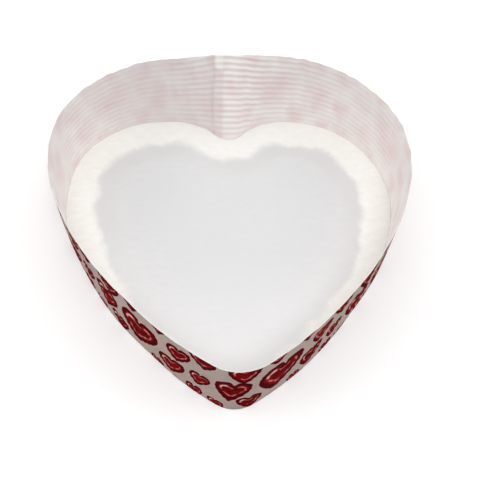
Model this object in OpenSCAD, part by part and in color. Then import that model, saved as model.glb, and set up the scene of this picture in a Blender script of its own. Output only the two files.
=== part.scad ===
// Heart shaped paper baking mould.
// A strip of crimped paper stands round the heart as a flared wall. Its lower edge is folded
// inwards and pleated flat into a flange, its two ends lap over each other beside the cleft,
// and a heart cut from smooth baking paper is glued on top of the flange as the floor.
// Millimetres. The tip points to -Y, the cleft to +Y, and +Z is up. The mould stands on z = 0,
// with the origin under the middle of its outer box.

/* [Heart at the fold line] */
// Width of the heart across both lobes
base_w = 160; // [154:1:168]
// Length of the heart from the tip to the tops of the lobes
base_l = 147; // [142:0.5:153]
// Radius of each lobe
lobe_r = 48; // [45:0.5:51]
// Radius of the long side between lobe and tip
side_r = 167; // [150:1:190]
// Radius at the tip
tip_r = 15; // [14:0.5:20]
// Radius in the bottom of the cleft
cleft_r = 4; // [2:0.5:6]

/* [Heart at the rim] */
// How much wider the rim is than the fold line
rim_wider = -1; // [-3:0.5:3]
// How much longer the rim is than the fold line, from the tip to the shoulders
rim_longer = 1.5; // [0:0.5:4]
// Radius of each shoulder of the rim
rim_shoulder_r = 51; // [49:0.5:54]
// Radius of the rim's long side
rim_side_r = 147; // [140:1:158]
// Radius of the rim at the tip
rim_tip_r = 20.5; // [18:0.5:24]
// Radius of the rim's back, which runs almost straight across the cleft
rim_back_r = 106; // [98:1:130]
// How far the shoulders of the rim lie behind the tops of the lobes
rim_set_back = 8; // [6:0.5:10]

/* [Wall strip] */
// Height of the wall along its slope
wall_h = 36.5; // [33:0.5:42]
// Extra height of the wall at the cleft, where less of the strip is folded in
cleft_rise = 5.8; // [2:0.2:8]
// Ribs crimped along the strip
ribs = 13; // [11:1:15]
// Depth of a rib, from crest to valley
rib_depth = 0.6; // [0.2:0.1:0.7]
// Thickness of the strip's paper
paper_t = 0.3; // [0.2:0.05:0.4]

/* [Flange and pleats] */
// Width of the flange folded in under the floor
flange_w = 13; // [9:0.2:13.2]
// Thickness of the flange between pleats
flange_t = 0.4; // [0.3:0.1:0.6]
// Height of a pleat's folded crest above the flange
pleat_h = 0.3; // [0:0.1:0.5]
// How far a pleat pulls the flange's inner edge back
pleat_pull = 1.2; // [0:0.1:2]

/* [Seam] */
// Distance of the inner end of the strip from the middle of the cleft
seam_at = 8.5; // [8:0.1:10]
// Width of the lap between the two ends
seam_lap = 5.2; // [4:0.1:5.6]

/* [Floor sheet] */
// Thickness of the floor sheet
sheet_t = 0.15; // [0.1:0.05:0.3]
// Gap between the floor sheet and the middle of the wall's paper
sheet_gap = 0.6; // [0.6:0.1:1.5]

/* [Hidden] */

// Steps along each half of the heart, up to where the cleft begins
long_steps = 40;
// Length of the strip beside the seam over which the outer end moves out by one thickness
seam_fade = 14;
// Half length of the stretch in which the wall rises at the cleft
cleft_reach = 12;
// Steps of the wall's section: a crest and a valley for each rib
rows = 2 * ribs;

// ---- outlines of tangent arcs: [centre x, centre y, radius, first angle, last angle] ----
function turn_of(v) = atan2(v[1], v[0]);

// Centre of a large circle that holds two smaller ones, touching both from inside
function holding_centre(c1, r1, c2, r2, r) =
    let (d1 = r - r1, d2 = r - r2, v = c2 - c1, d = norm(v),
         a = (d1 * d1 - d2 * d2 + d * d) / (2 * d), h = sqrt(d1 * d1 - a * a),
         u = v / d, m = c1 + a * u, n = [-u[1], u[0]], p = m + h * n, q = m - h * n)
    p[0] < q[0] ? p : q;

// Right half of a heart, from the tip to the middle of the cleft. cleft says whether the back
// dips in by a fillet of radius r_back or bulges out by an arc of that radius.
function half_heart(w, l, y_top, r_lobe, r_side, r_tip, r_back, cleft) =
    let (lobe = [w / 2 - r_lobe, y_top - r_lobe], tip = [0, y_top - l + r_tip],
         side = holding_centre(tip, r_tip, lobe, r_lobe, r_side),
         a_tip = turn_of(tip - side), a_side = turn_of(lobe - side),
         back = cleft
            ? [0, lobe[1] + sqrt(pow(r_lobe + r_back, 2) - lobe[0] * lobe[0])]
            : [0, lobe[1] - sqrt(pow(r_back - r_lobe, 2) - lobe[0] * lobe[0])],
         a_lobe = cleft ? turn_of(back - lobe) : turn_of(lobe - back))
    [[tip[0], tip[1], r_tip, -90, a_tip],
     [side[0], side[1], r_side, a_tip, a_side],
     [lobe[0], lobe[1], r_lobe, a_side, a_lobe],
     [back[0], back[1], r_back, cleft ? a_lobe - 180 : a_lobe, cleft ? -90 : 90]];

function arc_length(a) = a[2] * abs(a[4] - a[3]) * PI / 180;
function arcs_length(arcs, i = 0) = i == len(arcs) ? 0 : arc_length(arcs[i]) + arcs_length(arcs, i + 1);

// Point and outward normal at length s along an arc, and along a row of arcs
function on_arc(a, s) =
    let (t = a[3] + (a[4] - a[3]) * s / arc_length(a), out = a[4] < a[3] ? -1 : 1)
    [[a[0] + a[2] * cos(t), a[1] + a[2] * sin(t)], [out * cos(t), out * sin(t)]];
function on_arcs(arcs, s, i = 0) =
    let (l = arc_length(arcs[i]))
    i == len(arcs) - 1 || s <= l ? on_arc(arcs[i], min(s, l)) : on_arcs(arcs, s - l, i + 1);

// Point and normal at a share f of the whole loop, anticlockwise from the tip
function flip(q) = [[-q[0][0], q[0][1]], [-q[1][0], q[1][1]]];
function on_loop(arcs, f) =
    let (l = arcs_length(arcs))
    f <= 0.5 ? on_arcs(arcs, 2 * f * l) : flip(on_arcs(arcs, 2 * (1 - f) * l));

base_arcs = half_heart(base_w, base_l, base_l / 2, lobe_r, side_r, tip_r, cleft_r, true);
rim_arcs = half_heart(base_w + rim_wider, base_l + rim_longer, base_l / 2 + rim_set_back,
                      rim_shoulder_r, rim_side_r, rim_tip_r, rim_back_r, false);
half_length = arcs_length(base_arcs);

// ---- stations along the strip, as shares of the loop ----
cleft_zone = seam_at + 0.1;
seam_in = seam_at - seam_lap;
right_stations = [for (i = [0 : long_steps - 1]) i * (half_length - cleft_zone) / long_steps];
right_cleft = [cleft_zone, 6, 4, 2.2, 0.9];
left_cleft = [0, 0.9, 2.2, seam_in - 0.1, seam_in + 0.1, (seam_in + seam_at) / 2, seam_at - 0.1];
left_stations = [for (i = [0 : long_steps - 1]) cleft_zone + i * (half_length - cleft_zone) / long_steps];
stations = concat(
    [for (s = right_stations) s / (2 * half_length)],
    [for (d = right_cleft) 0.5 - d / (2 * half_length)],
    [for (d = left_cleft) 0.5 + d / (2 * half_length)],
    [for (d = left_stations) 0.5 + d / (2 * half_length)]);
n = len(stations);
// Between each two stations the flange has one more, for the crest of a pleat
function station(k) = k % 2 == 0 ? stations[(k / 2) % n]
    : (stations[(k - 1) / 2] + (k == 2 * n - 1 ? 1 : stations[(k + 1) / 2])) / 2;

// Distance from the middle of the cleft, positive on the left
function from_cleft(f) = (f - 0.5) * 2 * half_length;
function rise(f) = cleft_rise * exp(-pow(from_cleft(f) / cleft_reach, 2));

// Offsets of the paper's inner and outer face from the nominal surface. In the lap the outer
// end lies outside the inner one.
function shift_out(d) = paper_t * max(0, 1 - (d - seam_at) / seam_fade);
function face_in(d) = -paper_t / 2 + (d > seam_at ? shift_out(d) : 0);
function face_out(d) = paper_t / 2 + (d > seam_at ? shift_out(d) : d > seam_in ? paper_t : 0);

// ---- section of the wall at one station ----
function unit(v) = v / norm(v);
function rib(i) = i == 0 || i == rows ? 0 : (i % 2 == 1 ? -1 : 1) * rib_depth / 2;
function wall_section(f) =
    let (b = on_loop(base_arcs, f), r = on_loop(rim_arcs, f), d = from_cleft(f),
         h = wall_h + rise(f), run = r[0] - b[0], z = sqrt(h * h - run * run),
         up = [run[0], run[1], z] / h,
         normals = [for (i = [0 : rows])
             let (m = b[1] * (1 - i / rows) + r[1] * i / rows, m3 = [m[0], m[1], 0])
             unit(m3 - (m3 * up) * up)],
         foot = [b[0][0], b[0][1], 0], out = [b[1][0], b[1][1], 0])
    concat(
        [foot + out * face_in(d) + [0, 0, flange_t]],
        [for (i = [1 : rows]) foot + up * h * i / rows + normals[i] * (face_in(d) + rib(i))],
        [for (i = [rows : -1 : 1]) foot + up * h * i / rows + normals[i] * (face_out(d) + rib(i))],
        [foot + out * face_out(d) + [0, 0, paper_t]],
        [foot + out * (face_out(d) - paper_t * 0.7)]);

// ---- section of the flange: fold on top, inner edge on top, inner edge below, fold below ----
function pleat(f) = let (d = abs(from_cleft(f))) d < 9 ? 0 : min(1, (d - 9) / 8);
function flange_section(k) =
    let (f = station(k), b = on_loop(base_arcs, f), d = from_cleft(f),
         crest = k % 2 == 1 ? pleat(f) : 0,
         width = flange_w - rise(f) - pleat_pull * crest,
         foot = [b[0][0], b[0][1], 0], out = [b[1][0], b[1][1], 0])
    [foot + out * face_in(d) + [0, 0, flange_t],
     foot - out * width + [0, 0, flange_t + pleat_h * crest],
     foot - out * width,
     foot + out * (face_out(d) - paper_t * 0.7)];

wall_points = [for (f = stations) each wall_section(f)];
flange_points = [for (k = [0 : 2 * n - 1]) each flange_section(k)];
m = 2 * rows + 3;
last = m - 1;

// Number of a point of the wall, and of the flange, which shares the wall's feet
function wp(j, i) = (j % n) * m + i;
function fp(k, c) = let (q = k % (2 * n))
    q % 2 == 0 && c == 0 ? wp(q / 2, 0) : q % 2 == 0 && c == 3 ? wp(q / 2, last) : n * m + q * 4 + c;

// The wall's panels, then the rows of three triangles at its feet, then the flange's panels
wall_faces = [for (j = [0 : n - 1], i = [1 : last - 2])
    each [[wp(j, i), wp(j + 1, i + 1), wp(j, i + 1)], [wp(j, i), wp(j + 1, i), wp(j + 1, i + 1)]]];
foot_faces = [for (j = [0 : n - 1]) each [
    [wp(j, 0), fp(2 * j + 1, 0), wp(j, 1)],
    [fp(2 * j + 1, 0), wp(j + 1, 1), wp(j, 1)],
    [fp(2 * j + 1, 0), wp(j + 1, 0), wp(j + 1, 1)],
    [wp(j, last - 1), fp(2 * j + 1, 3), wp(j, last)],
    [wp(j, last - 1), wp(j + 1, last - 1), fp(2 * j + 1, 3)],
    [fp(2 * j + 1, 3), wp(j + 1, last - 1), wp(j + 1, last)]]];
flange_faces = [for (k = [0 : 2 * n - 1], c = [0 : 2])
    each [[fp(k, c), fp(k + 1, c + 1), fp(k + 1, c)], [fp(k, c), fp(k, c + 1), fp(k + 1, c + 1)]]];

// Middle of the outer box along Y, which becomes the origin
ys = [for (p = wall_points) p[1]];
mid_y = (min(ys) + max(ys)) / 2;

// ---- the pieces ----
// Crimped strip: wall, lapped ends, and the pleated flange folded in at its foot
module side_wall() {
    color([0.89, 0.85, 0.84])
    translate([0, -mid_y, 0])
    polyhedron(points = concat(wall_points, flange_points),
               faces = concat(wall_faces, foot_faces, flange_faces), convexity = 10);
}

// Smooth paper heart that lies on the flange and closes the bottom
module base_sheet() {
    color([0.95, 0.94, 0.92])
    translate([0, -mid_y, flange_t + pleat_h])
    linear_extrude(height = sheet_t)
    polygon([for (k = [0 : 2 * n - 1])
        let (q = on_loop(base_arcs, station(k))) q[0] - q[1] * sheet_gap]);
}

side_wall();
base_sheet();
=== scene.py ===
"""Looks of the heart shaped paper baking mould.

The wall strip and the floor sheet are rebuilt as fine meshes in the place of the two CAD nodes: the strip with its
crimped ribs, lapped ends, slightly wavy rim and pleated flange, the floor sheet slack and lightly embossed by the pleats.
Lengths below are in millimetres, in the CAD frame, and become metres where a mesh is made.
"""

import math

import bpy
import numpy as np
from mathutils import Matrix, Vector


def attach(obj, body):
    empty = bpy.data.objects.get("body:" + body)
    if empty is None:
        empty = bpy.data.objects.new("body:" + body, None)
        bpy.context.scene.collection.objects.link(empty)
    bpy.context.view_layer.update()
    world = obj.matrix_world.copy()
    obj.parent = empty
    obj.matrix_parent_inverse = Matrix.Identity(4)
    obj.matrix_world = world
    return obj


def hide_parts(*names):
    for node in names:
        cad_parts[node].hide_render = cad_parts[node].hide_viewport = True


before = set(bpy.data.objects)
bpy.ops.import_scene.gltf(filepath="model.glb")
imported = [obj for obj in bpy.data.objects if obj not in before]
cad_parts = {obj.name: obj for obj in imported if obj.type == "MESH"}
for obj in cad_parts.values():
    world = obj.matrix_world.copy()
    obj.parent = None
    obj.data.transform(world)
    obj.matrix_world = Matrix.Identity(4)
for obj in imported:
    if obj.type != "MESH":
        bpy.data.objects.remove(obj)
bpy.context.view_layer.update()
rng = np.random.default_rng(11)

MM = 0.001
MID_Y = 8.05  # the outlines are drawn round the middle of the floor, the frame round the middle of the outer box


# ---------------------------------------------------------------------------------------------- outlines
def arc(c, r, a0, a1, step=0.1):
    n = max(8, int(abs(a1 - a0) * r / step))
    t = np.linspace(a0, a1, n)
    return np.stack([c[0] + r * np.cos(t), c[1] + r * np.sin(t)], 1)


def turn_of(v):
    return math.atan2(v[1], v[0])


def holding_centre(c1, r1, c2, r2, r):
    """Centre of the large circle that holds two smaller ones, touching both from inside, on the -X side."""
    d1, d2, v = r - r1, r - r2, c2 - c1
    d = np.linalg.norm(v)
    a = (d1 * d1 - d2 * d2 + d * d) / (2 * d)
    h = math.sqrt(max(d1 * d1 - a * a, 0))
    u = v / d
    n = np.array([-u[1], u[0]])
    p, q = c1 + a * u + h * n, c1 + a * u - h * n
    return p if p[0] < q[0] else q


def half_heart(w, l, y_top, r_lobe, r_side, r_tip, r_back, cleft):
    """Right half of a heart of tangent arcs, from the tip to the middle of its back."""
    lobe, tip = np.array([w / 2 - r_lobe, y_top - r_lobe]), np.array([0.0, y_top - l + r_tip])
    side = holding_centre(tip, r_tip, lobe, r_lobe, r_side)
    a_tip, a_side = turn_of(tip - side), turn_of(lobe - side)
    parts = [arc(tip, r_tip, -math.pi / 2, a_tip), arc(side, r_side, a_tip, a_side)]
    if cleft:
        back = np.array([0.0, lobe[1] + math.sqrt((r_lobe + r_back) ** 2 - lobe[0] ** 2)])
        a = turn_of(back - lobe)
        parts += [arc(lobe, r_lobe, a_side, a), arc(back, r_back, a - math.pi, -math.pi / 2)]
    else:
        back = np.array([0.0, lobe[1] - math.sqrt((r_back - r_lobe) ** 2 - lobe[0] ** 2)])
        a = turn_of(lobe - back)
        parts += [arc(lobe, r_lobe, a_side, a), arc(back, r_back, a, math.pi / 2)]
    return np.vstack(parts)


def lengths(p):
    return np.r_[0, np.cumsum(np.linalg.norm(np.diff(p, axis=0), axis=1))]


def even(p, n):
    s = lengths(p)
    t = np.linspace(0, s[-1], n)
    return np.stack([np.interp(t, s, p[:, k]) for k in range(p.shape[1])], 1)


class Loop:
    """A closed outline, anticlockwise from the tip. c is the length along it; the cleft is at c = right."""

    def __init__(self, right, left, cleft_shift=0.0, cleft_dip=0.0, departures=()):
        right, left = even(right, 3000), even(left, 3000)
        y = (right[-1, 1] + left[-1, 1]) / 2
        for h in (right, left):
            s = lengths(h)
            d = s[-1] - s
            h[:, 1] += (y - h[-1, 1]) * np.exp(-((d / 14) ** 2))
        left[:, 0] *= -1
        for h in (right, left):
            s = lengths(h)
            d = s[-1] - s
            h[:, 0] += cleft_shift * np.exp(-((d / 15) ** 2))
            h[:, 1] -= cleft_dip * np.exp(-((d / 7.5) ** 4))  # the cleft is a wide U
        self.right = lengths(right)[-1]
        p = np.vstack([right, left[::-1][1:]])
        self.c = lengths(p)
        self.total = self.c[-1]
        self.left = self.total - self.right
        # evenly spaced again, lightly smoothed where arcs meet, with outward normals and curvature
        n = 9000
        t = np.arange(n) / n * self.total
        q = np.stack([np.interp(t, self.c, p[:, k]) for k in (0, 1)], 1)
        q = self.smooth(q, 0.8 / (self.total / n))
        if departures:
            q = self.smooth(q + self.depart(t, q, departures), 0.8 / (self.total / n))
        d = np.roll(q, -1, 0) - np.roll(q, 1, 0)
        d /= np.linalg.norm(d, axis=1)[:, None]
        nrm = self.smooth(np.stack([d[:, 1], -d[:, 0]], 1), 1.2 / (self.total / n))
        nrm /= np.linalg.norm(nrm, axis=1)[:, None]
        ang = np.unwrap(np.arctan2(nrm[:, 1], nrm[:, 0]))
        bend = np.gradient(ang, self.total / n)
        bend[0], bend[-1] = bend[1], bend[-2]
        self.t, self.q, self.n = t, q, nrm
        wide = self.smooth(nrm, 6.0 / (self.total / n))
        self.wide = wide / np.linalg.norm(wide, axis=1)[:, None]
        self.bend = self.smooth(bend[:, None], 1.5 / (self.total / n))[:, 0]

    def depart(self, t, q, table):
        """Small departures of the real outline from its arcs: rows of place, reach and either outwards or x and y."""
        a = np.array(table)
        gap = (t[:, None] - a[None, :, 0] + self.total / 2) % self.total - self.total / 2
        w = np.exp(-((gap / a[None, :, 1]) ** 2))
        w /= w.sum(1, keepdims=True)
        v = w @ a[:, 2:]
        if v.shape[1] == 2:
            return v
        d = np.roll(q, -1, 0) - np.roll(q, 1, 0)
        d /= np.linalg.norm(d, axis=1)[:, None]
        return np.stack([d[:, 1], -d[:, 0]], 1) * v

    @staticmethod
    def smooth(v, sigma):
        k = np.arange(-int(4 * sigma) - 1, int(4 * sigma) + 2)
        w = np.exp(-0.5 * (k / sigma) ** 2)
        w /= w.sum()
        pad = len(k) // 2
        e = np.vstack([v[-pad:], v, v[:pad]])
        return np.stack([np.convolve(e[:, i], w, "valid") for i in range(v.shape[1])], 1)

    def at(self, c):
        c = np.asarray(c) % self.total
        p = np.stack([np.interp(c, self.t, self.q[:, k], period=self.total) for k in (0, 1)], -1)
        n = np.stack([np.interp(c, self.t, self.n[:, k], period=self.total) for k in (0, 1)], -1)
        return p, n / np.linalg.norm(n, axis=-1, keepdims=True)

    def inset(self, c, w):
        """Points w inside the outline; far in, the direction is averaged so that lines don't cross."""
        p, n = self.at(c)
        c = np.asarray(c) % self.total
        n2 = np.stack([np.interp(c, self.t, self.wide[:, k], period=self.total) for k in (0, 1)], -1)
        f = smoothstep(0.5, 5.0, w)[..., None]
        d = n * (1 - f) + n2 * f
        return p - d / np.linalg.norm(d, axis=-1, keepdims=True) * np.asarray(w)[..., None]

    def curvature(self, c):
        return np.interp(np.asarray(c) % self.total, self.t, self.bend, period=self.total)


# The real mould is a little fuller on the right than on the left
FLOOR = Loop(
    half_heart(163.73, 147.08, 73.54, 49.17, 165.64, 14.68, 4.0, True),
    half_heart(156.27, 147.08, 73.54, 47.01, 168.02, 14.68, 4.0, True),
    cleft_shift=1.2,
    cleft_dip=2.0,
    departures=[
        (1.89, 17.26, -0.08, -0.17), (24.91, 17.26, 0.32, -0.45), (47.93, 17.26, 0.2, -0.21), (70.95, 17.26, -0.28, 0.22),
        (93.97, 17.26, 1.28, -0.74), (116.98, 17.26, -0.95, 0.31), (140, 17.26, -0.21, 0.01), (163.02, 17.26, -0.21, -0.17),
        (186.04, 14.26, -0.15, -0.24), (201.04, 8.44, -0.14, -0.7), (208.54, 5.62, -0.01, -0.28), (216.04, 5.62, 0.03, -0.24),
        (223.54, 5.62, 0.08, -0.28), (231.04, 3.94, 0.53, -1.05), (234.04, 2.62, 0.86, -1.2), (238.04, 3, 1.37, -1.35),
        (242.04, 3, 0.83, -0.41), (246.04, 3, 0.22, 1.04), (250.04, 3, 0, 0.53), (254.04, 3, -0.41, -0.11),
        (258.04, 2.62, 0.19, 0.6), (261.04, 3.94, 0.09, 0.16), (268.54, 5.62, 0.13, 0.47), (276.04, 5.62, 0.03, 0.19),
        (283.54, 5.62, 0.03, -0.9), (291.04, 8.44, 0.01, -0.11), (306.04, 14.26, 0.17, -0.3), (329.05, 17.26, -0.51, 0.31),
        (352.07, 17.26, 1.37, -0.09), (375.09, 17.26, -0.42, -0.2), (398.11, 17.26, -0.2, -0.11), (421.13, 17.26, -0.53, -0.44),
        (444.14, 17.26, 0.26, 0.27), (467.16, 17.26, -0.37, -0.53),
    ],
)
RIM = Loop(
    half_heart(162.22, 148.39, 81.51, 50.32, 141.20, 20.67, 106.3, False),
    half_heart(156.10, 148.39, 81.51, 51.20, 152.84, 20.67, 106.3, False),
    departures=[
        (12.84, 20.5, 0.01), (34.74, 20.5, -0.66), (56.64, 20.5, -0.7), (78.54, 20.5, -0.17),
        (100.44, 20.5, 1.09), (122.34, 20.5, 0.05), (144.24, 20.5, 0.11), (166.14, 20.5, 0.26),
        (188.04, 16.46, 0.85), (210.04, 16.5, 2.39), (232.04, 18.75, -1.3), (260.04, 18.75, -0.91),
        (282.04, 16.5, 1.11), (304.04, 16.46, -0.15), (325.94, 20.5, 0.91), (347.84, 20.5, 0.73),
        (369.73, 20.5, -0.34), (391.63, 20.5, 1.39), (413.53, 20.5, -0.35), (435.43, 20.5, -0.61),
        (457.33, 20.5, -0.3), (479.23, 20.5, -0.68),
    ],
)
WALL_H = 36.33  # along the slope
CLEFT_Z = 33.0  # height of the rim behind the cleft
CLEFT_RISE, CLEFT_REACH = 4.2, 12.3
PAPER = 0.30
RIB = 2.78
RIB_PHASE = 0.0
FLANGE_W, FLANGE_TIP = 13.8, 9.8  # round the lobes and sides, and at the tip
SEAM_AT, SEAM_IN = 5.8, 0.6  # inner and outer end of the strip, left of the cleft
SEAM_SKEW = 2.3  # the inner end is cut a little obliquely: it stands this much further left at the fold


def rim_c(c):
    """Where on the rim the wall's line from c on the floor outline ends."""
    c = np.asarray(c) % FLOOR.total
    on_right = c <= FLOOR.right
    return np.where(
        on_right,
        c / FLOOR.right * RIM.right,
        RIM.right + (c - FLOOR.right) / FLOOR.left * RIM.left,
    )


def from_cleft(c):
    """Length from the middle of the cleft, positive on the left."""
    return (np.asarray(c) % FLOOR.total) - FLOOR.right


def smoothstep(a, b, x):
    t = np.clip((x - a) / (b - a), 0, 1)
    return t * t * (3 - 2 * t)


def waves(c, low, high, count, seed):
    """Smooth noise of about unit size along the loop, made of whole numbers of waves."""
    r = np.random.default_rng(seed)
    c = np.asarray(c)
    v = np.zeros_like(c, dtype=float)
    for k in r.integers(low, high, count):
        v = v + r.uniform(0.5, 1) * np.sin(2 * math.pi * k * c / FLOOR.total + r.uniform(0, 2 * math.pi))
    return v / math.sqrt(count * 0.3)


def slope(c):
    """Foot and rim point of the wall's line at c, the rim's height, and the length of the line."""
    b, nb = FLOOR.at(c)
    r, nr = RIM.at(rim_c(c))
    run = np.linalg.norm(r - b, axis=-1)
    side = np.sqrt(WALL_H**2 - np.minimum(run, 15) ** 2)
    z = CLEFT_Z + (side - CLEFT_Z) * smoothstep(12, 42, np.abs(from_cleft(c))) + 0.11 * waves(c, 14, 40, 8, 3)
    z = z + 0.15 * waves(c, 50, 95, 10, 31)
    return b, nb, r, nr, z, np.hypot(run, z)


# ---------------------------------------------------------------------------------------------- pleats
def pleat_lines():
    """Places along the strip where one pleat of the flange ends and the next begins."""
    lo, hi = -(FLOOR.left - 9.5), FLOOR.right - 9.5
    n = 102
    w = rng.uniform(0.72, 1.28, n)
    return lo + np.r_[0, np.cumsum(w)] / w.sum() * (hi - lo)


PLEATS = pleat_lines()
PLEAT_CUT = rng.uniform(-0.45, 0.45, len(PLEATS))  # each pleat's inner edge ends a little further in or out
PLEAT_UP = rng.uniform(0.6, 1.0, len(PLEATS))


def pleat_state(s):
    """Index of the pleat at strip coordinate s, place within it from 0 to 1, and how strongly it is pleated there."""
    s = np.asarray(s, float)
    k = np.clip(np.searchsorted(PLEATS, s, side="right") - 1, 0, len(PLEATS) - 2)
    f = np.clip((s - PLEATS[k]) / (PLEATS[k + 1] - PLEATS[k]), 0, 1)
    inside = (s >= PLEATS[0]) & (s < PLEATS[-1])
    edge = np.minimum(s - PLEATS[0], PLEATS[-1] - s)
    return k, f, np.where(inside, smoothstep(0, 8, edge), 0.0)


def saw(f):
    """A pleat's profile: it rises over most of its width and drops at the fold."""
    return np.where(f < 0.86, f / 0.86, (1 - f) / 0.14)


def flange_width(s, c):
    k, f, on = pleat_state(s)
    return flange_mean(c) + on * (PLEAT_CUT[k] - 0.9 * saw(f) ** 2)


def flange_mean(c):
    n = from_cleft(c)
    rise = CLEFT_RISE * 0.55 * np.exp(-((n / CLEFT_REACH) ** 2))
    return FLANGE_W - rise + (FLANGE_TIP - FLANGE_W) * smoothstep(115, 178, np.abs(n))


# ---------------------------------------------------------------------------------------------- the strip
def strip_stations():
    """Strip coordinates from the inner end, left of the cleft, round by the right side and the tip to the outer end."""
    first, last = FLOOR.right + SEAM_AT, -(FLOOR.left - SEAM_IN)
    near = [FLOOR.right + d for d in (SEAM_AT, SEAM_AT - 0.5)] + list(
        np.linspace(FLOOR.right + SEAM_AT - 1.3, PLEATS[-1] + 1.0, 20)
    )
    mid = []
    for a, b in zip(PLEATS[:-1], PLEATS[1:]):
        mid += [a + (b - a) * f for f in (0.0, 0.29, 0.58, 0.86)]
    mid.append(PLEATS[-1])
    end = list(np.linspace(last, PLEATS[0] - 1.0, 6))
    s = np.array(sorted(set(np.round(near + mid + end, 5)), reverse=True))
    assert s[0] <= first + 1e-4 and s[-1] >= last - 1e-4
    return s


def layer(s):
    """How far the strip lies outside its nominal surface: the outer end passes over the inner one."""
    start = FLOOR.right + SEAM_AT
    t = start - s  # run along the strip
    return 0.36 * smoothstep(FLOOR.total - 15, FLOOR.total - 1, t)


def inner_lift(s):
    """The inner end's flange lies on top of the outer end's."""
    t = FLOOR.right + SEAM_AT - s
    return 0.31 * (1 - smoothstep(5.6, 14, t))


def rib_depth(s):
    """The crimp stands out most beside the seam and is pulled flatter along the sides."""
    t = FLOOR.right + SEAM_AT - s
    left = FLOOR.total + SEAM_AT - t  # length from the cleft, on the left side
    at = [3.5, 6.5, 14, 21, 28, 36, 46, 56, 70]
    deep = np.interp(t, at, [0.26, 0.62, 0.64, 0.52, 0.38, 0.29, 0.25, 0.19, 0.16])
    deep = np.where(left < 60, np.interp(left, [0, 7, 11, 18, 23, 30, 42, 60], [0.24, 0.24, 0.30, 0.34, 0.22, 0.11, 0.12, 0.16]), deep)
    return deep * (1 + 0.10 * waves(s, 9, 30, 6, 21))


def wall_points(s, c, share, off):
    """Points of the wall at a share of its slope, off outwards from the middle of the paper. s, c, off broadcast."""
    b, nb, r, nr, z, h = slope(c)
    u = share * h
    up = np.concatenate([r - b, z[..., None]], -1)
    up /= np.linalg.norm(up, axis=-1, keepdims=True)
    m = nb * (1 - share) + nr * share
    m3 = np.concatenate([m, np.zeros_like(m[..., :1])], -1)
    m3 = m3 - (m3 * up).sum(-1, keepdims=True) * up
    m3 /= np.linalg.norm(m3, axis=-1, keepdims=True)
    foot = np.concatenate([b, np.zeros_like(b[..., :1])], -1)
    # slack of the paper: lateral waves that grow towards the free edge, and a slight belly
    slack = 0.06 * share**1.6 * waves(s, 18, 46, 9, 5) + 0.12 * share * waves(s, 5, 14, 6, 8)
    slack = slack + 0.30 * np.sin(math.pi * share) * waves(s, 3, 9, 5, 9)
    k, pf, on = pleat_state(s)
    slack = slack + 0.10 * on * np.sin(2 * math.pi * pf) * np.exp(-u / 2.2)
    near = np.exp(-((from_cleft(c) / 13.0) ** 2))
    phase = (h - u + 1.9 * near) / (RIB * (1 + 0.05 * near)) + RIB_PHASE
    wave = np.sin(2 * math.pi * phase) + 0.16 * np.sin(4 * math.pi * phase + 0.6)
    rib = 0.5 * rib_depth(s) * (1.06 + 0.30 * (1 - share)) * wave * smoothstep(0.4, 3.0, u)
    # the inner end, on top of the lap, stands off a little
    t = FLOOR.right + SEAM_AT - s
    rib = rib - 0.04 * np.exp(-((t / 2.6) ** 2)) * smoothstep(0.5, 6.0, u)
    return foot + up * u[..., None] + m3 * (off + slack * (1 - 0.6 * near) + rib)[..., None], u


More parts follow.
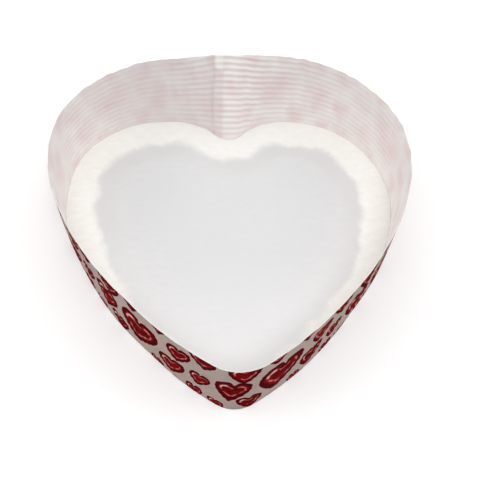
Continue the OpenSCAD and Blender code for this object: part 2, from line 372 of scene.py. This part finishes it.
def build_strip():
    s = strip_stations()
    n = len(s)
    # the oblique inner end shifts the lines of the wall near it
    skew = SEAM_SKEW * np.exp(-(((s - s[0]) / 9.0) ** 2))
    c = (s + skew) % FLOOR.total
    b, nb = FLOOR.at(c)
    w_edge = flange_width(s, c)
    k, pf, on = pleat_state(s)
    lay, lift = layer(s), inner_lift(s)
    NF, NW = 9, 97
    rows_out, rows_in, u_out, u_in = [], [], [], []

    def flat(w, z):
        return np.concatenate([FLOOR.inset(c, w), z[:, None]], 1)

    def pleat_z(w):
        return 0.24 * on * PLEAT_UP[k] * saw(pf) * smoothstep(0.3, 7.0, w)

    # flange, from its inner edge out to the fold
    for i in range(NF):
        w = 1.0 + (w_edge - 1.0) * (1 - i / (NF - 1)) ** 1.1
        rows_out.append(flat(w, pleat_z(w) + lift))
        rows_in.append(flat(w, pleat_z(w) + lift + PAPER))
        u_out.append(-w)
        u_in.append(-w)
    # fold
    one = np.ones(n)
    rows_out.append(flat(0.25 * one - lay, 0.02 * one + lift * 0.8))
    rows_in.append(flat(0.55 * one - lay, 0.36 * one + lift * 0.8))
    u_out.append(-0.3 * one)
    u_in.append(-0.5 * one)
    rows_out.append(flat(-0.10 * one - lay, 0.20 * one + lift * 0.4))
    rows_in.append(flat(0.26 * one - lay, 0.50 * one + lift * 0.4))
    u_out.append(0.15 * one)
    u_in.append(0.2 * one)
    # wall
    for j in range(NW):
        share = 0.022 + 0.978 * j / (NW - 1)
        cc = (s + skew * (1 - share)) % FLOOR.total
        thin = 1 - 0.72 * np.exp(-(((s[0] - s) / 1.1) ** 2))  # the inner end is glued down and pressed thin
        for rows, us, side in ((rows_out, u_out, 0.5), (rows_in, u_in, -0.5)):
            p, u = wall_points(s, cc, share, PAPER * (0.5 if side > 0 else 0.5 - thin) + lay)
            rows.append(p)
            us.append(u)
    rows_out, rows_in = np.array(rows_out), np.array(rows_in)  # rows, stations, 3
    u_out, u_in = np.array(u_out), np.array(u_in)
    R = len(rows_out)
    verts = np.concatenate([rows_out.reshape(-1, 3), rows_in.reshape(-1, 3)])
    verts[:, 1] -= MID_Y
    verts[:, 2] = np.maximum(verts[:, 2], 0)

    def vo(j, i):
        return j * n + i

    def vi(j, i):
        return (R + j) * n + i

    # print coordinate, per corner: in the flange each pleat shows only part of its paper
    bend = FLOOR.curvature(c)

    def print_s(i, face_i, w):
        """Strip coordinate of the paper at station i for the face that starts at station face_i, w inside the fold."""
        kk, _, oo = k[face_i], pf[face_i], on[face_i]
        if oo <= 0 or w <= 0:
            return s[i]
        s0 = PLEATS[kk]
        return s0 + (s[i] - s0) * (1 - np.clip(bend[face_i] * w, -0.3, 0.85))

    # unrolled length across the strip, for the baked layout
    across_o = np.r_[0, np.cumsum(np.linalg.norm(np.diff(rows_out, axis=0), axis=2).mean(1))]
    across_i = np.r_[0, np.cumsum(np.linalg.norm(np.diff(rows_in, axis=0), axis=2).mean(1))]
    run = s[0] - s
    half = n // 2
    half_run = run[half]
    SIZE = 252.0
    row_h = 62.0

    def bake_uv(outer, j, i, second):
        a = across_o[j] if outer else across_i[j]
        x = (run[i] - (half_run if second else 0)) + 2.0
        y = a + 1.5 + row_h * ((0 if outer else 2) + (1 if second else 0))
        return x / SIZE, y / SIZE

    faces, mats, uv_p, uv_b = [], [], [], []
    for i in range(n - 1):
        second = i >= half
        fi = i + 1  # stations run from high s to low s, so the pleat of this face starts at the lower one
        for j in range(R - 1):
            # outer face: seen from outside, s falls with i
            quad = [(j, i), (j + 1, i), (j + 1, i + 1), (j, i + 1)]
            faces.append([vo(a, q) for a, q in quad])
            mats.append(0)
            uv_p.append([(print_s(q, fi, -u_out[a, q]), u_out[a, q]) for a, q in quad])
            uv_b.append([bake_uv(True, a, q, second) for a, q in quad])
            quad = quad[::-1]
            faces.append([vi(a, q) for a, q in quad])
            mats.append(1)
            uv_p.append([(s[q], u_in[a, q]) for a, q in quad])
            uv_b.append([bake_uv(False, a, q, second) for a, q in quad])
        # rim edge and inner edge of the flange
        for j, flip in ((R - 1, False), (0, True)):
            quad = [vo(j, i), vi(j, i), vi(j, i + 1), vo(j, i + 1)]
            x0, x1 = bake_uv(True, j, i, second)[0], bake_uv(True, j, i + 1, second)[0]
            y0 = bake_uv(True, j, i, second)[1]
            y1 = y0 + (0.5 if not flip else -0.5) / SIZE
            uvb = [(x0, y0), (x0, y1), (x1, y1), (x1, y0)]
            uvp = [(s[i], 90.0), (s[i], 90.3), (s[i + 1], 90.3), (s[i + 1], 90.0)]
            if flip:
                quad, uvb, uvp = quad[::-1], uvb[::-1], uvp[::-1]
            faces.append(quad)
            mats.append(1)
            uv_p.append(uvp)
            uv_b.append(uvb)
    for i, flip in ((0, True), (n - 1, False)):
        second = i > 0
        for j in range(R - 1):
            quad = [vo(j, i), vo(j + 1, i), vi(j + 1, i), vi(j, i)]
            x0, y0 = bake_uv(True, j, i, second)
            _, y1 = bake_uv(True, j + 1, i, second)
            x1 = x0 + (-0.6 if i == 0 else 0.6) / SIZE
            uvb = [(x0, y0), (x0, y1), (x1, y1), (x1, y0)]
            uvp = [(s[i], 90.0), (s[i], 90.4), (s[i] + 0.3, 90.4), (s[i] + 0.3, 90.0)]
            if flip:
                quad, uvb, uvp = quad[::-1], uvb[::-1], uvp[::-1]
            faces.append(quad)
            mats.append(1)
            uv_p.append(uvp)
            uv_b.append(uvb)
    return make_mesh("wall_strip", verts, faces, mats, uv_p, uv_b), n, R


def make_mesh(name, verts, faces, mats, uv_p, uv_b):
    me = bpy.data.meshes.new(name)
    me.from_pydata((np.asarray(verts) * MM).tolist(), [], faces)
    for layer_name, data in (("print", uv_p), ("OFBake", uv_b)):
        lay = me.uv_layers.new(name=layer_name)
        flat = np.array([xy for f in data for xy in f], np.float32).ravel()
        lay.data.foreach_set("uv", flat)
    me.polygons.foreach_set("material_index", np.array(mats, np.int32))
    me.polygons.foreach_set("use_smooth", np.ones(len(faces), bool))
    me.uv_layers["print"].active_render = True
    me.update()
    ob = bpy.data.objects.new(name, me)
    bpy.context.scene.collection.objects.link(ob)
    return ob


# ---------------------------------------------------------------------------------------------- the floor sheet
def build_sheet():
    s = []
    for a, b in zip(PLEATS[:-1], PLEATS[1:]):
        s += [a + (b - a) * f for f in (0.0, 0.29, 0.58, 0.86)]
    s += list(np.linspace(PLEATS[-1], FLOOR.right, 15)[:-1])
    s += list(np.linspace(FLOOR.right, FLOOR.total + PLEATS[0], 15)[:-1])
    s = np.array(s)
    c = s % FLOOR.total
    s_near = np.where(s > FLOOR.right, s - FLOOR.total, s)
    n = len(s)
    b, nb = FLOOR.at(c)
    w_edge = 0.65 * flange_mean(c) + 0.35 * flange_width(s_near, c)
    k, pf, on = pleat_state(s_near)
    ring_w = list(np.linspace(0.13, 14.4, 25))
    pts = [FLOOR.inset(c, np.full(n, w)) for w in ring_w]
    centre = np.array([0.5, 9.0])
    inner = pts[-1]
    shares = 1 - (1 - np.linspace(0, 1, 23)[1:-1]) ** 1.0
    for q in shares:
        pts.append(inner * (1 - q) + centre * q)
    pts = np.array(pts)  # rings, stations, 2
    rings = len(pts)
    dense = FLOOR.q[::6]
    dist = np.empty(pts.shape[:2])
    for r in range(rings):
        d2 = ((pts[r][:, None, :] - dense[None]) ** 2).sum(-1)
        dist[r] = np.sqrt(d2.min(1))
    over = dist - w_edge[None]
    # height: lies on the pleats, then hangs a little slack inside them
    ws = np.array(ring_w + [20.0] * len(shares))[:, None]
    emboss = 0.11 * (on * PLEAT_UP[k] * saw(pf))[None] * smoothstep(1.2, 5.0, ws) * (1 - smoothstep(-0.6, 1.5, over))
    x, y = pts[..., 0], pts[..., 1]
    sag = -0.34 * smoothstep(-0.5, 9.0, over)
    ripple = 0.055 * np.sin(x / 9.3 + 0.7) * np.cos(y / 12.1 + 0.4) + 0.04 * np.sin((x + 1.7 * y) / 15.0 + 1.1)
    ripple = ripple + 0.03 * np.sin((2.1 * x - y) / 7.7)
    z = 0.79 + emboss + sag + ripple * smoothstep(2.0, 12.0, dist)
    top = np.concatenate([pts, z[..., None]], -1).reshape(-1, 3)
    bottom = top - np.array([0, 0, 0.13])
    zc = 0.79 - 0.34 + 0.0
    verts = np.vstack([top, [[centre[0], centre[1], zc]], bottom, [[centre[0], centre[1], zc - 0.13]]])
    over_v = np.r_[over.ravel(), dist.max() - 13, over.ravel(), dist.max() - 13]
    edge_v = np.r_[dist.ravel(), dist.max(), dist.ravel(), dist.max()]
    verts[:, 1] -= MID_Y
    nt = rings * n + 1
    faces, mats, uv_p, uv_b = [], [], [], []

    def place(v):
        p = verts[v]
        return (p[0], p[1])

    def bake(v, under):
        p = verts[v]
        if under:
            return 0.68 + (p[0] + 84) / 168 * 0.30, 0.02 + (p[1] + 84) / 168 * 0.30
        return 0.01 + (p[0] + 84) / 168 * 0.65, 0.01 + (p[1] + 84) / 168 * 0.65

    def add(f, m, under):
        faces.append(f)
        mats.append(m)
        uv_p.append([place(v) for v in f])
        uv_b.append([bake(v, under) for v in f])

    for i in range(n):
        i2 = (i + 1) % n
        for r in range(rings - 1):
            f = [r * n + i, r * n + i2, (r + 1) * n + i2, (r + 1) * n + i]
            add(f, 0, False)
            add([nt + v for v in f[::-1]], 1, True)
        last = (rings - 1) * n
        f = [last + i, last + i2, rings * n]
        add(f, 0, False)
        add([nt + v for v in f[::-1]], 1, True)
        # cut edge
        faces.append([i, nt + i, nt + i2, i2])
        mats.append(1)
        x0, x1 = 0.02 + 0.96 * i / n, 0.02 + 0.96 * (i + 1) / n
        uv_p.append([place(i), place(nt + i), place(nt + i2), place(i2)])
        uv_b.append([(x0, 0.97), (x0, 0.975), (x1, 0.975), (x1, 0.97)])
    ob = make_mesh("floor_sheet", verts, faces, mats, uv_p, uv_b)
    for nm, v in (("over", over_v), ("edge", edge_v)):
        a = ob.data.attributes.new(nm, "FLOAT", "POINT")
        a.data.foreach_set("value", np.asarray(v, np.float32))
    return ob


# ---------------------------------------------------------------------------------------------- materials
class Maths:
    """Writes node maths as calls. A value is a number or a node's output."""

    def __init__(self, tree):
        self.tree = tree

    def node(self, kind, **props):
        n = self.tree.nodes.new(kind)
        for k, v in props.items():
            setattr(n, k, v)
        return n

    def put(self, socket, v):
        if isinstance(v, bpy.types.NodeSocket):
            self.tree.links.new(v, socket)
        else:
            socket.default_value = v

    def op(self, name, *v, clamp=False):
        n = self.node("ShaderNodeMath", operation=name, use_clamp=clamp)
        for i, x in enumerate(v):
            self.put(n.inputs[i], x)
        return n.outputs[0]

    def add(self, a, b):
        return self.op("ADD", a, b)

    def sub(self, a, b):
        return self.op("SUBTRACT", a, b)

    def mul(self, a, b):
        return self.op("MULTIPLY", a, b)

    def mad(self, a, b, c):
        return self.op("MULTIPLY_ADD", a, b, c)

    def ramp(self, v, a, b, lo=0.0, hi=1.0, smooth=True):
        """v mapped from a..b onto lo..hi, held at the ends."""
        n = self.node("ShaderNodeMapRange", interpolation_type="SMOOTHSTEP" if smooth else "LINEAR", clamp=True)
        for i, x in enumerate((v, a, b, lo, hi)):
            self.put(n.inputs[i], x)
        return n.outputs[0]

    def mix(self, f, a, b):
        n = self.node("ShaderNodeMix", data_type="RGBA", clamp_factor=True)
        self.put(n.inputs[0], f)
        self.put(n.inputs[6], a)
        self.put(n.inputs[7], b)
        return n.outputs[2]

    def blend(self, kind, f, a, b):
        n = self.node("ShaderNodeMix", data_type="RGBA", blend_type=kind, clamp_factor=True)
        self.put(n.inputs[0], f)
        self.put(n.inputs[6], a)
        self.put(n.inputs[7], b)
        return n.outputs[2]

    def vec(self, x, y, z=0.0):
        n = self.node("ShaderNodeCombineXYZ")
        for i, v in enumerate((x, y, z)):
            self.put(n.inputs[i], v)
        return n.outputs[0]

    def noise(self, at, scale, detail=2.0, rough=0.5, out=0):
        n = self.node("ShaderNodeTexNoise", noise_dimensions="3D")
        self.put(n.inputs["Vector"], at)
        self.put(n.inputs["Scale"], scale)
        self.put(n.inputs["Detail"], detail)
        self.put(n.inputs["Roughness"], rough)
        return n.outputs[out]


def srgb(r, g, b):
    f = lambda v: v / 12.92 if v <= 0.04045 else ((v + 0.055) / 1.055) ** 2.4
    return (f(r / 255), f(g / 255), f(b / 255), 1.0)


def material(name):
    m = bpy.data.materials.new(name)
    m.use_nodes = True
    t = m.node_tree
    t.nodes.clear()
    out = t.nodes.new("ShaderNodeOutputMaterial")
    bsdf = t.nodes.new("ShaderNodeBsdfPrincipled")
    t.links.new(bsdf.outputs[0], out.inputs[0])
    bsdf.inputs["Specular IOR Level"].default_value = 0.25
    return m, t, bsdf, Maths(t)


def heart_group():
    """Signed distance to a heart that fills the square from -0.5 to 0.5, in heart widths, negative inside,
    and the distance to the lighter part of the contour in its left lobe."""
    g = bpy.data.node_groups.new("heart_distance", "ShaderNodeTree")
    g.interface.new_socket("X", in_out="INPUT", socket_type="NodeSocketFloat")
    g.interface.new_socket("Y", in_out="INPUT", socket_type="NodeSocketFloat")
    g.interface.new_socket("Distance", in_out="OUTPUT", socket_type="NodeSocketFloat")
    g.interface.new_socket("Glint", in_out="OUTPUT", socket_type="NodeSocketFloat")
    i, o = g.nodes.new("NodeGroupInput"), g.nodes.new("NodeGroupOutput")
    m = Maths(g)
    ax = m.op("ABSOLUTE", i.outputs[0])
    x = m.mul(ax, 1.2071)
    y = m.mul(m.add(i.outputs[1], 0.5), 1.035)
    # the sides bulge: straight flanks y = x become rounded ones
    y = m.add(y, m.mul(m.mul(x, m.op("MAXIMUM", m.sub(0.66, x), 0.0)), 0.62))
    # the notch between the lobes is cut deeper
    notch = m.op("MAXIMUM", m.sub(1.0, m.mul(x, 5.5)), 0.0)
    y = m.add(y, m.mul(m.mul(m.mul(notch, notch), 0.11), m.ramp(y, 0.55, 0.85)))
    s = m.add(x, y)
    dx, dy = m.sub(x, 0.25), m.sub(y, 0.75)
    lobe = m.sub(m.op("SQRT", m.add(m.mul(dx, dx), m.mul(dy, dy))), 0.35355)
    y1 = m.sub(y, 1.0)
    d1 = m.add(m.mul(x, x), m.mul(y1, y1))
    t = m.mul(m.op("MAXIMUM", s, 0.0), 0.5)
    ex, ey = m.sub(x, t), m.sub(y, t)
    d2 = m.add(m.mul(ex, ex), m.mul(ey, ey))
    flank = m.mul(m.op("SQRT", m.op("MINIMUM", d1, d2)), m.op("SIGN", m.sub(x, y)))
    top = m.op("GREATER_THAN", s, 1.0)
    d = m.add(m.mul(top, lobe), m.mul(m.sub(1.0, top), flank))
    m.put(o.inputs[0], m.mul(d, 0.8284))
    gx, gy = m.add(i.outputs[0], 0.30), m.sub(i.outputs[1], 0.27)
    m.put(o.inputs[1], m.op("SQRT", m.add(m.mul(gx, gx), m.mul(gy, gy))))
    return g


REPEAT = 66.9  # the print repeats along the strip
# middle along the strip, middle above the fold, width, height and lean of each heart in one repeat
HEARTS = [
    (18.5, 18.1, 21.2, 23.6, -0.19),
    (-2.5, 16.8, 15.4, 17.8, -0.14),
    (-30.9, 11.2, 13.2, 15.6, -0.12),
    (-27.0, 26.0, 11.5, 13.2, -0.12),
    (-17.1, 14.9, 9.8, 11.6, -0.14),
    (2.0, 32.4, 13.4, 15.0, 0.0),
    (-15.3, 33.6, 12.2, 12.8, 0.08),
    (-36.2, 38.2, 9.8, 11.4, 0.0),
    (15.6, 37.2, 10.0, 11.6, 0.1),
    (5.5, 5.6, 11.4, 11.6, 0.12),
    (-19.5, 1.6, 8.4, 9.8, 0.0),
    (-8.9, 0.6, 7.8, 9.0, 0.1),
    (27.8, 1.4, 7.4, 9.0, 0.1),
    (18.5, -7.8, 14.2, 16.0, 0.1),
    (-1.6, -7.8, 10.6, 12.4, -0.1),
    (-14.5, -10.4, 12.4, 14.0, 0.0),
    (-31.0, -6.8, 14.6, 16.0, 0.12),
]
heart_distance = heart_group()


def hearts(m, uv_name, wobble=0.2):
    """Distance to the nearest printed heart, in widths of that heart, and the print's own coordinates in mm."""
    uv = m.node("ShaderNodeUVMap", uv_map=uv_name)
    sep = m.node("ShaderNodeSeparateXYZ")
    m.put(sep.inputs[0], uv.outputs[0])
    s, u = sep.outputs[0], sep.outputs[1]
    # hand-drawn outlines: both coordinates wander a little
    near = m.vec(s, u, 0.0)
    ns = m.noise(near, 0.16, 2.0, 0.55, out=1)
    sepn = m.node("ShaderNodeSeparateColor")
    m.put(sepn.inputs[0], ns)
    sw = m.mad(m.sub(sepn.outputs[0], 0.5), 4.6 * wobble, s)
    uw = m.mad(m.sub(sepn.outputs[1], 0.5), 4.6 * wobble, u)
    best = glint = None
    for cx, cy, w, h, lean in HEARTS:
        x = m.mul(m.op("WRAP", m.sub(sw, cx), REPEAT / 2, -REPEAT / 2), 1 / w)
        y = m.mul(m.sub(uw, cy), 1 / h)
        x = m.mad(y, lean, x)
        g = m.node("ShaderNodeGroup")
        g.node_tree = heart_distance
        m.put(g.inputs[0], x)
        m.put(g.inputs[1], y)
        best = g.outputs[0] if best is None else m.op("MINIMUM", best, g.outputs[0])
        glint = g.outputs[1] if glint is None else m.op("MINIMUM", glint, g.outputs[1])
    return best, glint, s, u, near


def printed_side():
    mat, t, bsdf, m = material("printed_side")
    d, glint, s, u, near = hearts(m, "print", wobble=0.16)
    at = m.node("ShaderNodeTexCoord").outputs["Object"]
    grain = m.noise(at, 2600.0, 3.0, 0.6)
    cloud = m.noise(at, 90.0, 3.0, 0.55)
    fleck = m.noise(near, 0.9, 2.0, 0.5)
    # paper of the outer side: its grey beige is partly the paper's own tone and partly painted shade
    paper = m.mix(m.ramp(cloud, 0.3, 0.7), srgb(166, 153, 145), srgb(178, 165, 157))
    paper = m.mix(m.ramp(grain, 0.30, 0.72, 0.0, 0.35), paper, srgb(152, 142, 134))
    # ink: dark outline, thin pale contour inside it that opens in places, red core
    core = m.mix(m.ramp(m.noise(near, 0.33, 2.0, 0.5), 0.35, 0.68), srgb(115, 5, 9), srgb(84, 3, 6))
    core = m.mix(m.ramp(m.noise(near, 0.055, 1.0, 0.5), 0.44, 0.60, 0.0, 0.35), core, srgb(146, 12, 18))
    line = m.mix(m.ramp(fleck, 0.3, 0.7), srgb(84, 4, 14), srgb(62, 3, 10))
    pale = m.mix(m.ramp(fleck, 0.22, 0.78), srgb(216, 134, 126), srgb(186, 84, 84))
    ink = m.mix(m.ramp(d, -0.106, -0.090), core, line)
    opened = m.op("MAXIMUM", m.ramp(m.noise(near, 0.27, 1.0, 0.4), 0.41, 0.51), m.ramp(glint, 0.10, 0.17, 1.0, 0.0))
    band = m.mul(m.ramp(d, -0.200, -0.185), m.ramp(d, -0.158, -0.142, 1.0, 0.0))
    ink = m.mix(m.mul(m.mul(band, opened), 0.85), ink, pale)
    # the contour is broadest and lightest in the left lobe
    stroke = m.mul(m.ramp(d, -0.215, -0.190), m.ramp(d, -0.150, -0.128, 1.0, 0.0))
    stroke = m.mul(m.mul(stroke, m.ramp(glint, 0.09, 0.17, 1.0, 0.0)), m.ramp(fleck, 0.25, 0.70, 0.55, 0.95))
    ink = m.mix(stroke, ink, srgb(236, 178, 172))
    paper = m.mix(m.ramp(m.noise(near, 0.075, 2.0, 0.5), 0.40, 0.66, 0.0, 0.45), paper, srgb(186, 160, 151))
    halo = m.ramp(d, 0.0, 0.10, 0.50, 0.0)
    paper = m.mix(halo, paper, srgb(200, 156, 150))
    on = m.ramp(d, -0.012, 0.012, 1.0, 0.0)
    colour = m.mix(on, paper, ink)
    m.put(bsdf.inputs["Base Color"], colour)
    m.put(bsdf.inputs["Roughness"], m.ramp(on, 0.0, 1.0, 0.84, 0.74))
    m.put(bsdf.inputs["Specular IOR Level"], m.ramp(on, 0.0, 1.0, 0.14, 0.01))
    bump = m.node("ShaderNodeBump")
    bump.inputs["Strength"].default_value = 0.22
    bump.inputs["Distance"].default_value = 0.00012
    # on the flange the crimp is pressed nearly flat
    flat_rib = m.mul(m.op("SINE", m.mul(u, 2 * math.pi / RIB)), m.ramp(u, -1.0, 0.5, 0.9, 0.0))
    m.put(bump.inputs["Height"], m.add(grain, flat_rib))
    m.put(bsdf.inputs["Normal"], bump.outputs[0])
    return mat


def inner_side():
    mat, t, bsdf, m = material("inner_side")
    d, glint, s, u, near = hearts(m, "print", wobble=0.5)
    at = m.node("ShaderNodeTexCoord").outputs["Object"]
    grain = m.noise(at, 2600.0, 3.0, 0.6)
    cloud = m.noise(at, 70.0, 3.0, 0.6)
    blotch = m.noise(near, 0.09, 2.0, 0.5)
    paper = m.mix(m.ramp(cloud, 0.3, 0.7), srgb(241, 236, 233), srgb(246, 242, 240))
    paper = m.mix(m.ramp(grain, 0.35, 0.75, 0.0, 0.22), paper, srgb(228, 220, 217))
    # the red hearts show through as soft pink shapes
    soft = m.ramp(d, -0.30, 0.26, 1.0, 0.0)
    tint = m.mul(soft, m.ramp(blotch, 0.25, 0.75, 0.15, 0.60))
    colour = m.mix(tint, paper, srgb(232, 204, 208))
    # left of the seam, where the wall is a single layer, it is painted greyer, a painted shade that fades out between
    # 30 and 75 mm along the strip
    left = m.add(s, FLOOR.left)
    colour = m.mix(m.ramp(left, 30.0, 75.0, 0.28, 0.0), colour, srgb(213, 203, 204))
    # painted shadow of the inner end's edge: a soft dark line beside it, strongest low on the wall
    seam = m.mul(m.ramp(left, SEAM_AT + 1.0, SEAM_AT + 4.6, 0.30, 0.0), m.ramp(u, 20.0, 34.0, 1.0, 0.30))
    colour = m.mix(seam, colour, srgb(190, 182, 184))
    # a dab of dried glue on the lap at the rim
    right_s = m.sub(s, FLOOR.right)
    dab = m.mul(m.ramp(right_s, -0.4, 1.8), m.ramp(right_s, 4.2, 6.0, 1.0, 0.0))
    dab = m.mul(dab, m.ramp(m.mad(m.sub(blotch, 0.5), 5.0, u), 34.0, 37.0))
    colour = m.mix(m.mul(dab, 0.80), colour, srgb(250, 247, 240))
    # the lap itself is two papers thick and a shade darker than the wall beside it
    lap = m.mul(m.ramp(right_s, 0.2, 1.6), m.ramp(right_s, 20.0, 20.5, 1.0, 0.0))
    colour = m.mix(m.mul(m.mul(lap, 0.34), m.sub(1.0, dab)), colour, srgb(218, 200, 202))
    m.put(bsdf.inputs["Base Color"], colour)
    m.put(bsdf.inputs["Roughness"], m.ramp(grain, 0.3, 0.7, 0.72, 0.86))
    bump = m.node("ShaderNodeBump")
    bump.inputs["Strength"].default_value = 0.18
    bump.inputs["Distance"].default_value = 0.00010
    m.put(bump.inputs["Height"], grain)
    m.put(bsdf.inputs["Normal"], bump.outputs[0])
    return mat


def sheet_side(under):
    mat, t, bsdf, m = material("sheet_under" if under else "sheet_top")
    at = m.node("ShaderNodeTexCoord").outputs["Object"]
    grain = m.noise(at, 1900.0, 3.0, 0.6)
    fibre = m.node("ShaderNodeMapping")
    fibre.inputs["Scale"].default_value = (1.0, 2.6, 1.0)
    m.put(fibre.inputs[0], at)
    cloud = m.noise(fibre.outputs[0], 170.0, 4.0, 0.62)
    wide = m.noise(at, 22.0, 2.0, 0.5)
    over = m.node("ShaderNodeAttribute", attribute_name="over").outputs["Fac"]
    edge = m.node("ShaderNodeAttribute", attribute_name="edge").outputs["Fac"]
    ragged = m.mad(m.sub(m.noise(at, 210.0, 3.0, 0.6), 0.5), 4.0, over)
    ragged = m.mad(m.sub(m.noise(at, 70.0, 1.0, 0.5), 0.5), 8.0, ragged)
    ring = m.ramp(ragged, -2.0, 2.6, 1.0, 0.0)
    # over the flange the sheet is backed by paper and looks cream; inside it the sheet is painted greyer, a painted
    # shade of the gap under it seen through the paper
    backed = m.mix(m.ramp(cloud, 0.3, 0.7), srgb(246, 245, 240), srgb(250, 250, 246))
    # painted shade at the foot of the wall: the ring darkens within about 6 mm of the outline
    backed = m.mix(m.ramp(edge, 1.0, 6.0, 0.14, 0.0), backed, srgb(236, 232, 226))
    place = m.node("ShaderNodeSeparateXYZ")
    m.put(place.inputs[0], at)
    free = m.mix(m.ramp(cloud, 0.34, 0.68), srgb(224, 225, 225), srgb(228, 228, 229))
    free = m.mix(m.ramp(wide, 0.35, 0.65, 0.0, 0.4), free, srgb(221, 222, 222))
    # painted shade: further from the wall, towards the middle, the sheet is painted darker
    free = m.mix(m.ramp(edge, 14.0, 42.0, 0.0, 0.35), free, srgb(217, 218, 219))
    # painted light: towards the tip the sheet is painted whiter
    free = m.mix(m.ramp(place.outputs[1], -0.068, -0.006, 0.55, 0.0), free, srgb(240, 241, 242))
    free = m.mix(m.ramp(place.outputs[1], -0.075, -0.048, 0.75, 0.0), free, srgb(246, 249, 249))
    # just inside the flange the sheet bends down and lies in its shade
    dip = m.mul(m.ramp(over, -1.0, 3.0), m.ramp(over, 4.0, 13.0, 1.0, 0.0))
    dip = m.mul(dip, m.ramp(place.outputs[1], -0.035, 0.02, 0.08, 1.0))
    free = m.mix(m.mul(dip, m.ramp(wide, 0.35, 0.65, 0.15, 0.55)), free, srgb(216, 215, 213))
    colour = m.mix(ring, free, backed)
    colour = m.mix(m.ramp(grain, 0.4, 0.75, 0.0, 0.18), colour, srgb(214, 213, 211))
    m.put(bsdf.inputs["Base Color"], colour)
    m.put(bsdf.inputs["Roughness"], m.ramp(cloud, 0.3, 0.7, 0.46, 0.60))
    bump = m.node("ShaderNodeBump")
    bump.inputs["Strength"].default_value = 0.16
    bump.inputs["Distance"].default_value = 0.00010
    m.put(bump.inputs["Height"], m.mad(cloud, 1.4, grain))
    m.put(bsdf.inputs["Normal"], bump.outputs[0])
    return mat


# ---------------------------------------------------------------------------------------------- assemble
strip, n_stations, n_rows = build_strip()
strip.data.materials.append(printed_side())
strip.data.materials.append(inner_side())
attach(strip, "root")
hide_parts("side_wall")

sheet = build_sheet()
sheet.data.materials.append(sheet_side(False))
sheet.data.materials.append(sheet_side(True))
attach(sheet, "root")
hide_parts("base_sheet")


# ---------------------------------------------------------------------------------------------- stage, lights, camera
def stage_floor():
    me = bpy.data.meshes.new("stage_floor")
    a = 3.0
    me.from_pydata([(-a, -a, 0), (a, -a, 0), (a, a, 0), (-a, a, 0)], [], [(0, 1, 2, 3)])
    ob = bpy.data.objects.new("stage_floor", me)
    bpy.context.scene.collection.objects.link(ob)
    ob.location.z = -0.00005
    mat, t, bsdf, m = material("stage_floor")
    at = m.node("ShaderNodeTexCoord").outputs["Object"]
    m.put(bsdf.inputs["Base Color"], m.mix(m.noise(at, 6.0), srgb(252, 252, 252), srgb(254, 254, 254)))
    bsdf.inputs["Roughness"].default_value = 0.9
    bsdf.inputs["Emission Color"].default_value = (1.0, 1.0, 1.0, 1.0)
    bsdf.inputs["Emission Strength"].default_value = 0.09
    me.materials.append(mat)
    return ob


stage_floor()


def area_light(name, at, to, size, power, colour=(1, 1, 1)):
    li = bpy.data.lights.new(name, "AREA")
    li.shape, li.size, li.energy, li.color = "DISK", size, power, colour
    ob = bpy.data.objects.new(name, li)
    bpy.context.scene.collection.objects.link(ob)
    ob.location = at
    ob.rotation_mode = "QUATERNION"
    ob.rotation_quaternion = (Vector(to) - Vector(at)).to_track_quat("-Z", "Y")
    return ob


LIGHTS = {
    "front_high": ((0.05, -0.35, 1.05), 0.5, 3.3),
    "back": ((0.0, 0.85, 0.65), 0.8, 0.7),
    "left": ((-0.95, 0.1, 0.55), 0.8, 2.45),
    "right": ((0.95, 0.1, 0.55), 0.8, 1.95),
}
for name, (at, size, power) in LIGHTS.items():
    area_light(name, at, (0, 0, 0), size, power)

# Studio surroundings: bright above, behind and at the sides, dimmer low in front
world = bpy.data.worlds.new("studio")
world.use_nodes = True
wt = world.node_tree
wm = Maths(wt)
bg = wt.nodes["Background"]
WORLD_LOW, WORLD_HIGH = 0.20, 0.75
direction = wm.node("ShaderNodeSeparateXYZ")
wm.put(direction.inputs[0], wm.node("ShaderNodeTexCoord").outputs["Generated"])
tilt = wm.mad(direction.outputs[2], 0.8, wm.mul(direction.outputs[1], 0.6))
bg.inputs[0].default_value = (1.0, 1.0, 1.0, 1.0)
wm.put(bg.inputs[1], wm.ramp(tilt, -0.2, 0.6, WORLD_LOW, WORLD_HIGH))
bpy.context.scene.world = world
bpy.context.scene.view_settings.view_transform = "Standard"
bpy.context.scene.view_settings.look = "None"
bpy.context.scene.view_settings.exposure = 0.0

# Camera: where a fit of the outlines of floor and rim puts it
ELEV, AZ, ROLL, DIST, F_PX = math.radians(64.01), math.radians(-10.12), math.radians(8.28), 280.0, 588.91
target = Vector((5.34, 4.60 - MID_Y, 0.0)) * MM
back = Vector((math.sin(AZ) * math.cos(ELEV), -math.cos(AZ) * math.cos(ELEV), math.sin(ELEV)))
right = (-back).cross(Vector((0, 0, 1))).normalized()
up = right.cross(-back)
right2 = right * math.cos(ROLL) + up * math.sin(ROLL)
up2 = -right * math.sin(ROLL) + up * math.cos(ROLL)
cam_data = bpy.data.cameras.new("camera")
cam_data.sensor_width = 36.0
cam_data.lens = F_PX / 480 * 36.0
cam_data.clip_start = 0.01
cam_data.clip_end = 20.0
cam = bpy.data.objects.new("camera", cam_data)
bpy.context.scene.collection.objects.link(cam)
rot = Matrix((right2, up2, back)).transposed()
cam.matrix_world = Matrix.Translation(target + back * DIST * MM) @ rot.to_4x4()
bpy.context.scene.camera = cam
